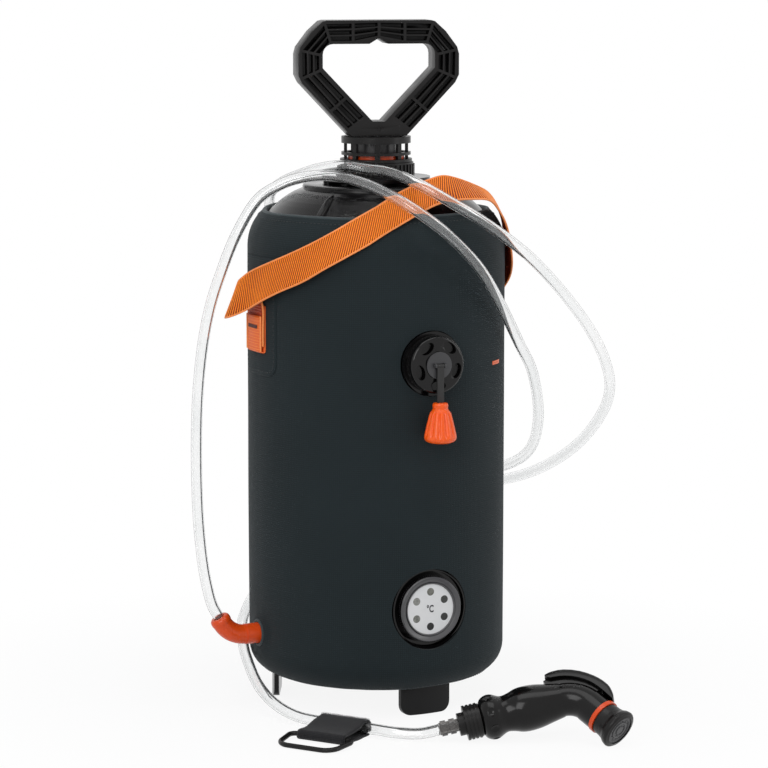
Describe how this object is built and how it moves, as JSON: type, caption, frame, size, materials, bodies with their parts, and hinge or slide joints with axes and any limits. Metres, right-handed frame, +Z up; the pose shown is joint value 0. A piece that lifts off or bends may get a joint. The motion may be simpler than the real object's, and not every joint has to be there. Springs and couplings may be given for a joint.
{
  "type": "portable pressure shower",
  "caption": "Pump-up camp shower: padded pressure tank with a hand pump, release valve, thermometer, carrying strap and a long clear hose with a trigger spray head.",
  "frame": {"origin": "on the tank's axis at ground level, between the three feet", "axes": "+Z up along the tank and pump rod; the front with valve and thermometer faces -Y; the outlet and the hose leave on -X"},
  "size_m": [0.3403, 0.3683, 0.5316],
  "materials": {
    "tank_black": "glossy moulded black",
    "cover_fabric": "matt dark green-black padded fabric",
    "webbing_orange": "ribbed orange webbing",
    "seal_rubber": "matt black rubber",
    "satin_black": "satin black moulding",
    "orange_plastic": "glossy orange moulding",
    "dark_grey_plastic": "dark grey moulding",
    "barrel_plastic": "natural pale tube",
    "seal_red": "red-brown rubber",
    "rod_aluminium": "drawn tube",
    "steel": "bright wire and pins",
    "brass": "turned nut",
    "orange_soft": "satin orange moulding",
    "dial_white": "white printed dial",
    "dot_grey": "heat-sensitive spots",
    "hose_clear": "clear flexible tube",
    "tail_clear": "smoky clear fitting",
    "handset_black": "high-gloss black",
    "tape_black": "hook-and-loop tape"
  },
  "bodies": {
    "tank": {"tank": "tank_black", "cover": "cover_fabric", "strap_tab_left": "webbing_orange", "strap_tab_right": "webbing_orange", "shoulder_strap": "webbing_orange", "neck_seal": "seal_rubber", "pump_cage": "tank_black", "guide_ring": "orange_plastic", "pump_gland": "dark_grey_plastic", "pump_barrel": "barrel_plastic", "barrel_foot": "dark_grey_plastic", "check_valve": "seal_red", "valve_body": "tank_black", "valve_gasket": "seal_rubber", "valve_nut": "brass", "gauge_bezel": "tank_black", "gauge_seal": "seal_rubber", "gauge_nut": "brass", "gauge_dial": "dial_white", "gauge_dots": "dot_grey", "outlet_elbow": "orange_plastic", "outlet_gasket": "seal_rubber", "outlet_nut": "brass", "hose": "hose_clear", "hose_tail": "tail_clear", "handset_nut": "satin_black", "handset_body": "handset_black", "lever_pin": "steel", "trigger_seal": "seal_red", "trigger_spring": "steel", "valve_spring": "steel", "accent_ring": "orange_plastic", "nozzle_seal": "seal_rubber", "hose_wrap": "tape_black"},
    "collar": {"pump_collar": "satin_black"},
    "plunger": {"piston": "dark_grey_plastic", "piston_seal": "seal_rubber"},
    "handle": {"pump_rod": "rod_aluminium", "pump_handle": "satin_black", "handle_pin": "steel"},
    "valve_cap": {"valve_cap": "satin_black"},
    "valve_core": {"valve_stem": "steel", "valve_seal": "seal_rubber", "valve_button": "dark_grey_plastic", "pull_pin": "steel"},
    "pull": {"pull_strap": "seal_rubber", "release_pull": "orange_soft"},
    "lever": {"handset_lever": "handset_black"},
    "trigger": {"trigger_stem": "steel"},
    "nozzle": {"nozzle_head": "satin_black", "nozzle_face": "dark_grey_plastic"},
    "ring": {"hanging_ring": "satin_black"}
  },
  "joints": [
    {"name": "pump_lift", "type": "slide", "parent": "tank", "child": "plunger", "axis": [0, 0, 1], "range_m": [0, 0.24]},
    {"name": "handle_turn", "type": "hinge", "parent": "plunger", "child": "handle", "pos_m": [0, 0, 0.45], "axis": [0, 0, 1], "continuous": true},
    {"name": "collar_turn", "type": "hinge", "parent": "tank", "child": "collar", "pos_m": [0, 0, 0.4165], "axis": [0, 0, 1], "continuous": true},
    {"name": "cap_turn", "type": "hinge", "parent": "tank", "child": "valve_cap", "pos_m": [0, -0.1065, 0.2755], "axis": [0, -1, 0], "continuous": true},
    {"name": "valve_pull", "type": "slide", "parent": "tank", "child": "valve_core", "axis": [0, -1, 0], "range_m": [0, 0.004], "stiffness_N_per_m": 900, "springref_m": -0.004, "deforming": ["valve_spring"]},
    {"name": "pull_swing", "type": "hinge", "parent": "valve_core", "child": "pull", "pos_m": [0, -0.1146, 0.2755], "axis": [-1, 0, 0], "range_deg": [-1, 110]},
    {"name": "lever_press", "type": "hinge", "parent": "tank", "child": "lever", "pos_m": [0.09079, -0.20318, 0.03576], "axis": [-0.3756, -0.5473, 0.7479], "range_deg": [0, 3.5], "stiffness_Nm_per_rad": 2, "springref_deg": -2.86, "deforming": ["trigger_spring"]},
    {"name": "trigger_push", "type": "slide", "parent": "tank", "child": "trigger", "axis": [-0.1313, -0.7674, -0.6276], "range_m": [0, 0.0017]},
    {"name": "nozzle_twist", "type": "hinge", "parent": "tank", "child": "nozzle", "pos_m": [0.0884, -0.23058, 0.0145], "axis": [0.345, -0.8316, -0.4353], "range_deg": [0, 180]},
    {"name": "ring_swing", "type": "hinge", "parent": "tank", "child": "ring", "pos_m": [-0.10421, -0.12935, 0.00425], "axis": [-0.5736, 0.8192, 0], "range_deg": [0, 100]}
  ],
  "couplings": [
    {"joint": "trigger_push", "follows": "lever_press", "m_per_rad": 0.02564}
  ]
}
